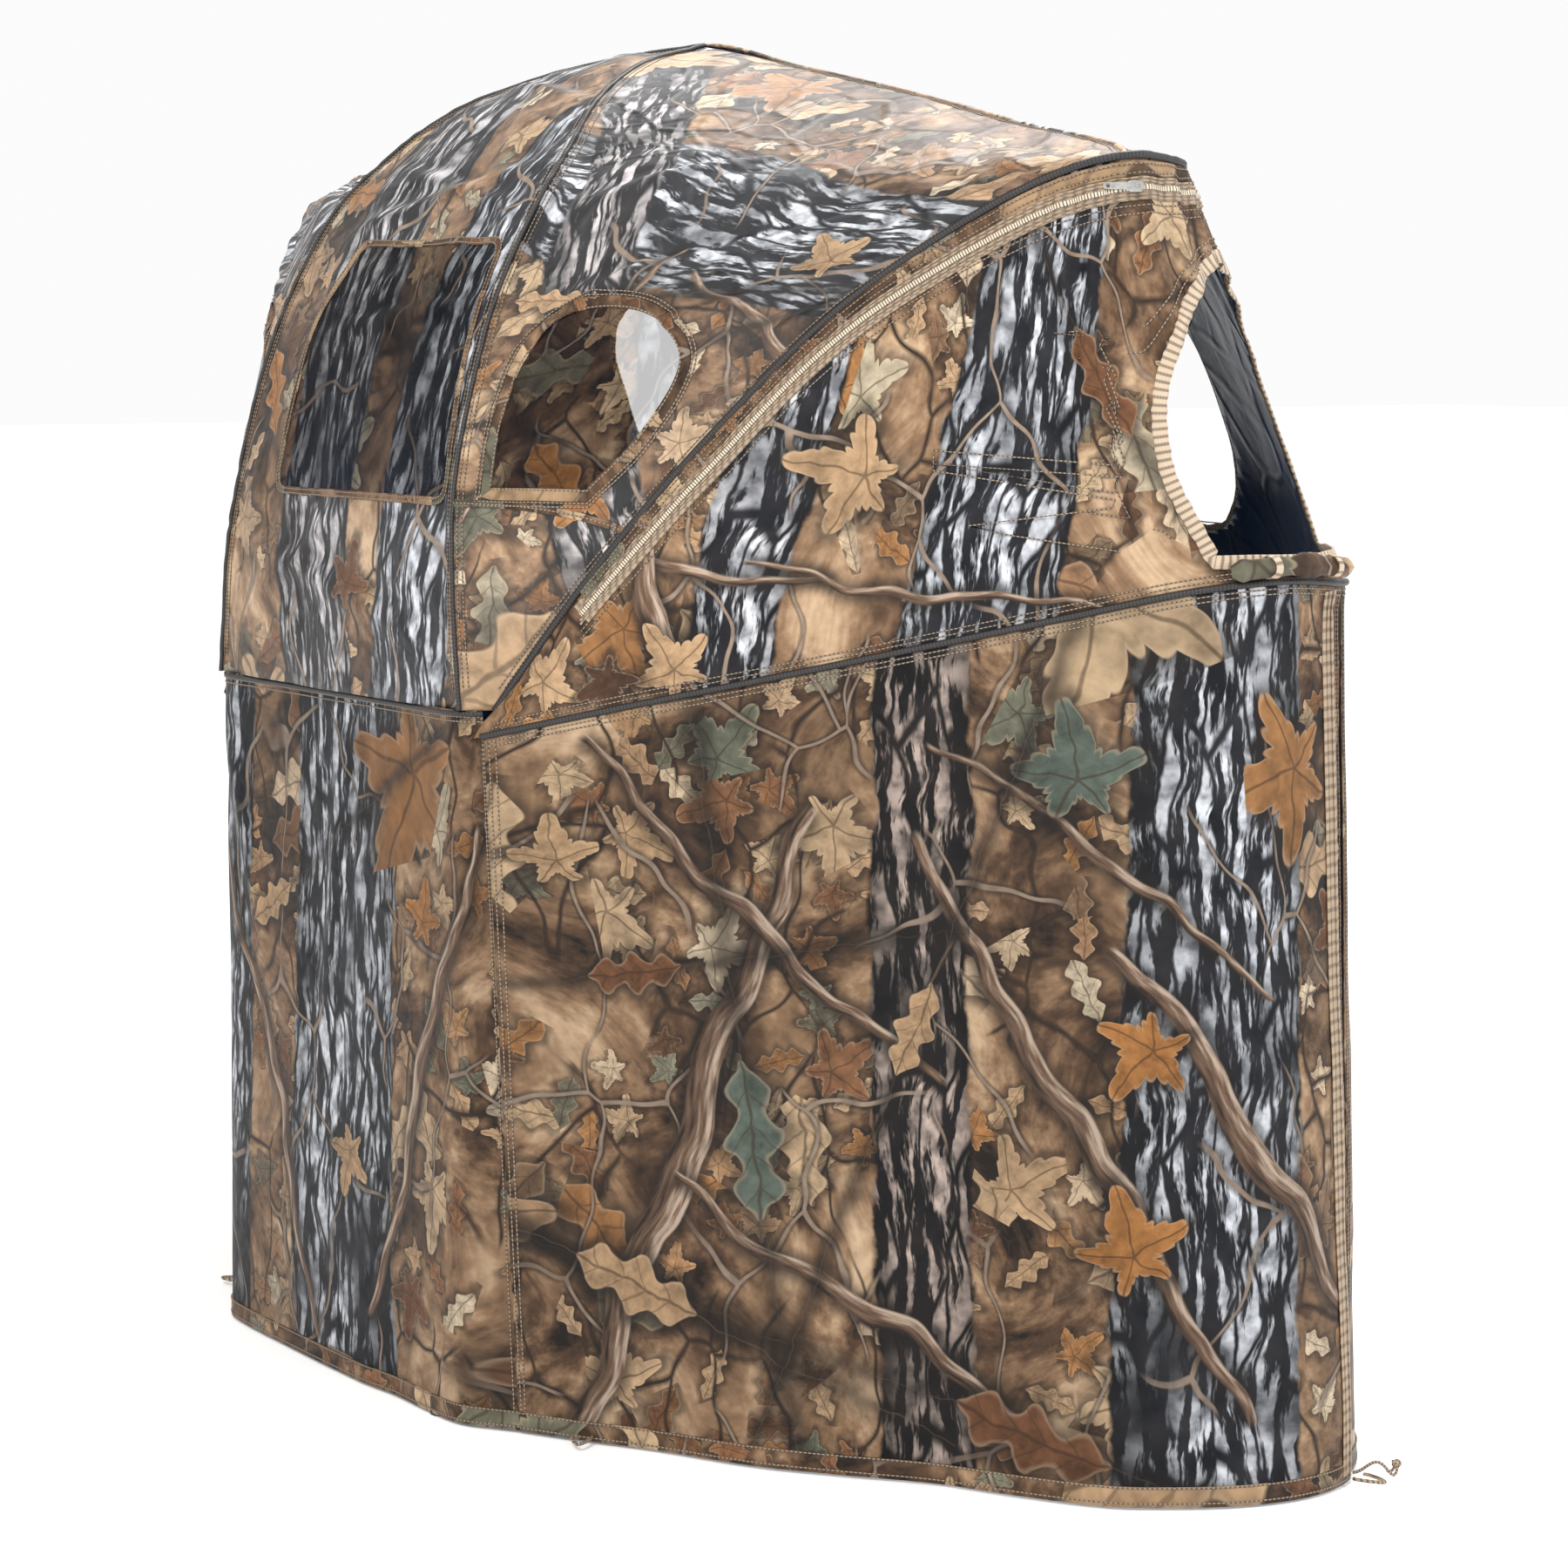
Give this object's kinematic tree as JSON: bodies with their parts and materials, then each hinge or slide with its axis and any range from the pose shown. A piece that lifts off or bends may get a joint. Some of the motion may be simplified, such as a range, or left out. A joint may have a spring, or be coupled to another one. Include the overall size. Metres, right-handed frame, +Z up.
{
  "type": "pop up ground blind",
  "caption": "Flip-over chair ground blind: a folding chair under a pivoting three-bow camouflage fabric canopy with mesh windows, zip fasteners and skirts to the ground.",
  "frame": {"origin": "on the ground, midway between the two bow pivots", "axes": "+Z up, -Y towards the front the sitter faces, -X to the sitter's right"},
  "size_m": [1.9659, 0.946, 1.483],
  "materials": {
    "steel_frame": "satin",
    "fasteners": "satin",
    "rods": "satin",
    "moulded": "matte",
    "camo_fabric": "matte",
    "mesh_fabric": "matte",
    "sling_fabric": "matte",
    "zip_tape": "matte",
    "zip_metal": "gloss"
  },
  "bodies": {
    "chair_back": {"chair_back_frame": "steel_frame", "chair_rear_stay": "steel_frame", "rear_foot_caps": "moulded", "hub_bolts": "fasteners", "hub_washers": "fasteners", "hub_nuts": "fasteners", "rear_pivot_bolts": "fasteners", "back_sling": "sling_fabric", "rear_skirt": "camo_fabric"},
    "seat": {"seat_frame": "steel_frame", "seat_rear_stay": "steel_frame", "seat_sling": "sling_fabric", "front_pivot_bolts": "fasteners"},
    "front_leg_frame": {"front_legs": "steel_frame", "front_leg_stay": "steel_frame", "front_foot_caps": "moulded", "leg_top_caps": "moulded", "arm_front_bolts": "fasteners"},
    "right_arm": {"right_armrest_bar": "moulded", "right_armrest_pad": "sling_fabric"},
    "left_arm": {"left_armrest_bar": "moulded", "left_armrest_pad": "sling_fabric"},
    "rear_bow": {"rear_bow_knuckles": "moulded", "rear_bow_rod": "rods", "rear_wall": "camo_fabric", "rear_window_mesh": "mesh_fabric"},
    "middle_bow": {"middle_bow_knuckles": "moulded", "middle_bow_rod": "rods", "right_wing": "camo_fabric", "left_wing": "camo_fabric", "right_wing_mesh": "mesh_fabric", "left_wing_mesh": "mesh_fabric", "front_roof": "camo_fabric", "right_zip_chain": "zip_tape", "left_zip_chain": "zip_tape"},
    "front_bow": {"front_bow_knuckles": "moulded", "front_bow_rod": "rods", "window_band": "camo_fabric", "right_skirt": "camo_fabric", "left_skirt": "camo_fabric", "front_skirt": "camo_fabric", "corner_window_cover": "camo_fabric", "hem_stake_loops": "camo_fabric"},
    "right_zip": {"right_zip_slider": "zip_metal"},
    "left_zip": {"left_zip_slider": "zip_metal"}
  },
  "joints": [
    {"name": "rear_bow_flip", "type": "hinge", "parent": "chair_back", "child": "rear_bow", "pos_m": [0, 0, 0.72], "axis": [-1, 0, 0], "range_deg": [0, 118]},
    {"name": "middle_bow_fold", "type": "hinge", "parent": "rear_bow", "child": "middle_bow", "pos_m": [0, 0, 0.72], "axis": [-1, 0, 0], "range_deg": [0, 29.5], "deforming": ["right_wing", "left_wing", "right_wing_mesh", "left_wing_mesh", "front_roof", "right_zip_chain", "left_zip_chain"]},
    {"name": "front_bow_fold", "type": "hinge", "parent": "middle_bow", "child": "front_bow", "pos_m": [0, 0, 0.72], "axis": [-1, 0, 0], "range_deg": [0, 29.5], "deforming": ["window_band", "right_skirt", "left_skirt", "front_skirt", "corner_window_cover", "hem_stake_loops"]},
    {"name": "seat_fold", "type": "hinge", "parent": "chair_back", "child": "seat", "pos_m": [0, 0, 0.42], "axis": [-1, 0, 0], "range_deg": [0, 72]},
    {"name": "front_leg_fold", "type": "hinge", "parent": "seat", "child": "front_leg_frame", "pos_m": [0, -0.4, 0.42], "axis": [-1, 0, 0], "range_deg": [-72, 0]},
    {"name": "right_arm_fold", "type": "hinge", "parent": "chair_back", "child": "right_arm", "pos_m": [-0.2, 0, 0.65], "axis": [-1, 0, 0], "range_deg": [0, 72]},
    {"name": "left_arm_fold", "type": "hinge", "parent": "chair_back", "child": "left_arm", "pos_m": [0.2, 0, 0.65], "axis": [-1, 0, 0], "range_deg": [0, 72]},
    {"name": "right_zip_travel", "type": "hinge", "parent": "middle_bow", "child": "right_zip", "pos_m": [-0.861, -0.4119, 1.0139], "axis": [-0.611, 0.7913, -0.0236], "range_deg": [0, 44], "stiffness_Nm_per_rad": 0.6},
    {"name": "left_zip_travel", "type": "hinge", "parent": "middle_bow", "child": "left_zip", "pos_m": [0.861, -0.4119, 1.0139], "axis": [-0.611, -0.7913, 0.0236], "range_deg": [0, 44], "stiffness_Nm_per_rad": 0.6}
  ],
  "couplings": [
    {"joint": "middle_bow_fold", "follows": "rear_bow_flip", "ratio": 0.25},
    {"joint": "front_bow_fold", "follows": "rear_bow_flip", "ratio": 0.25},
    {"joint": "front_leg_fold", "follows": "seat_fold", "ratio": -1},
    {"joint": "right_arm_fold", "follows": "seat_fold", "ratio": 1},
    {"joint": "left_arm_fold", "follows": "seat_fold", "ratio": 1}
  ]
}
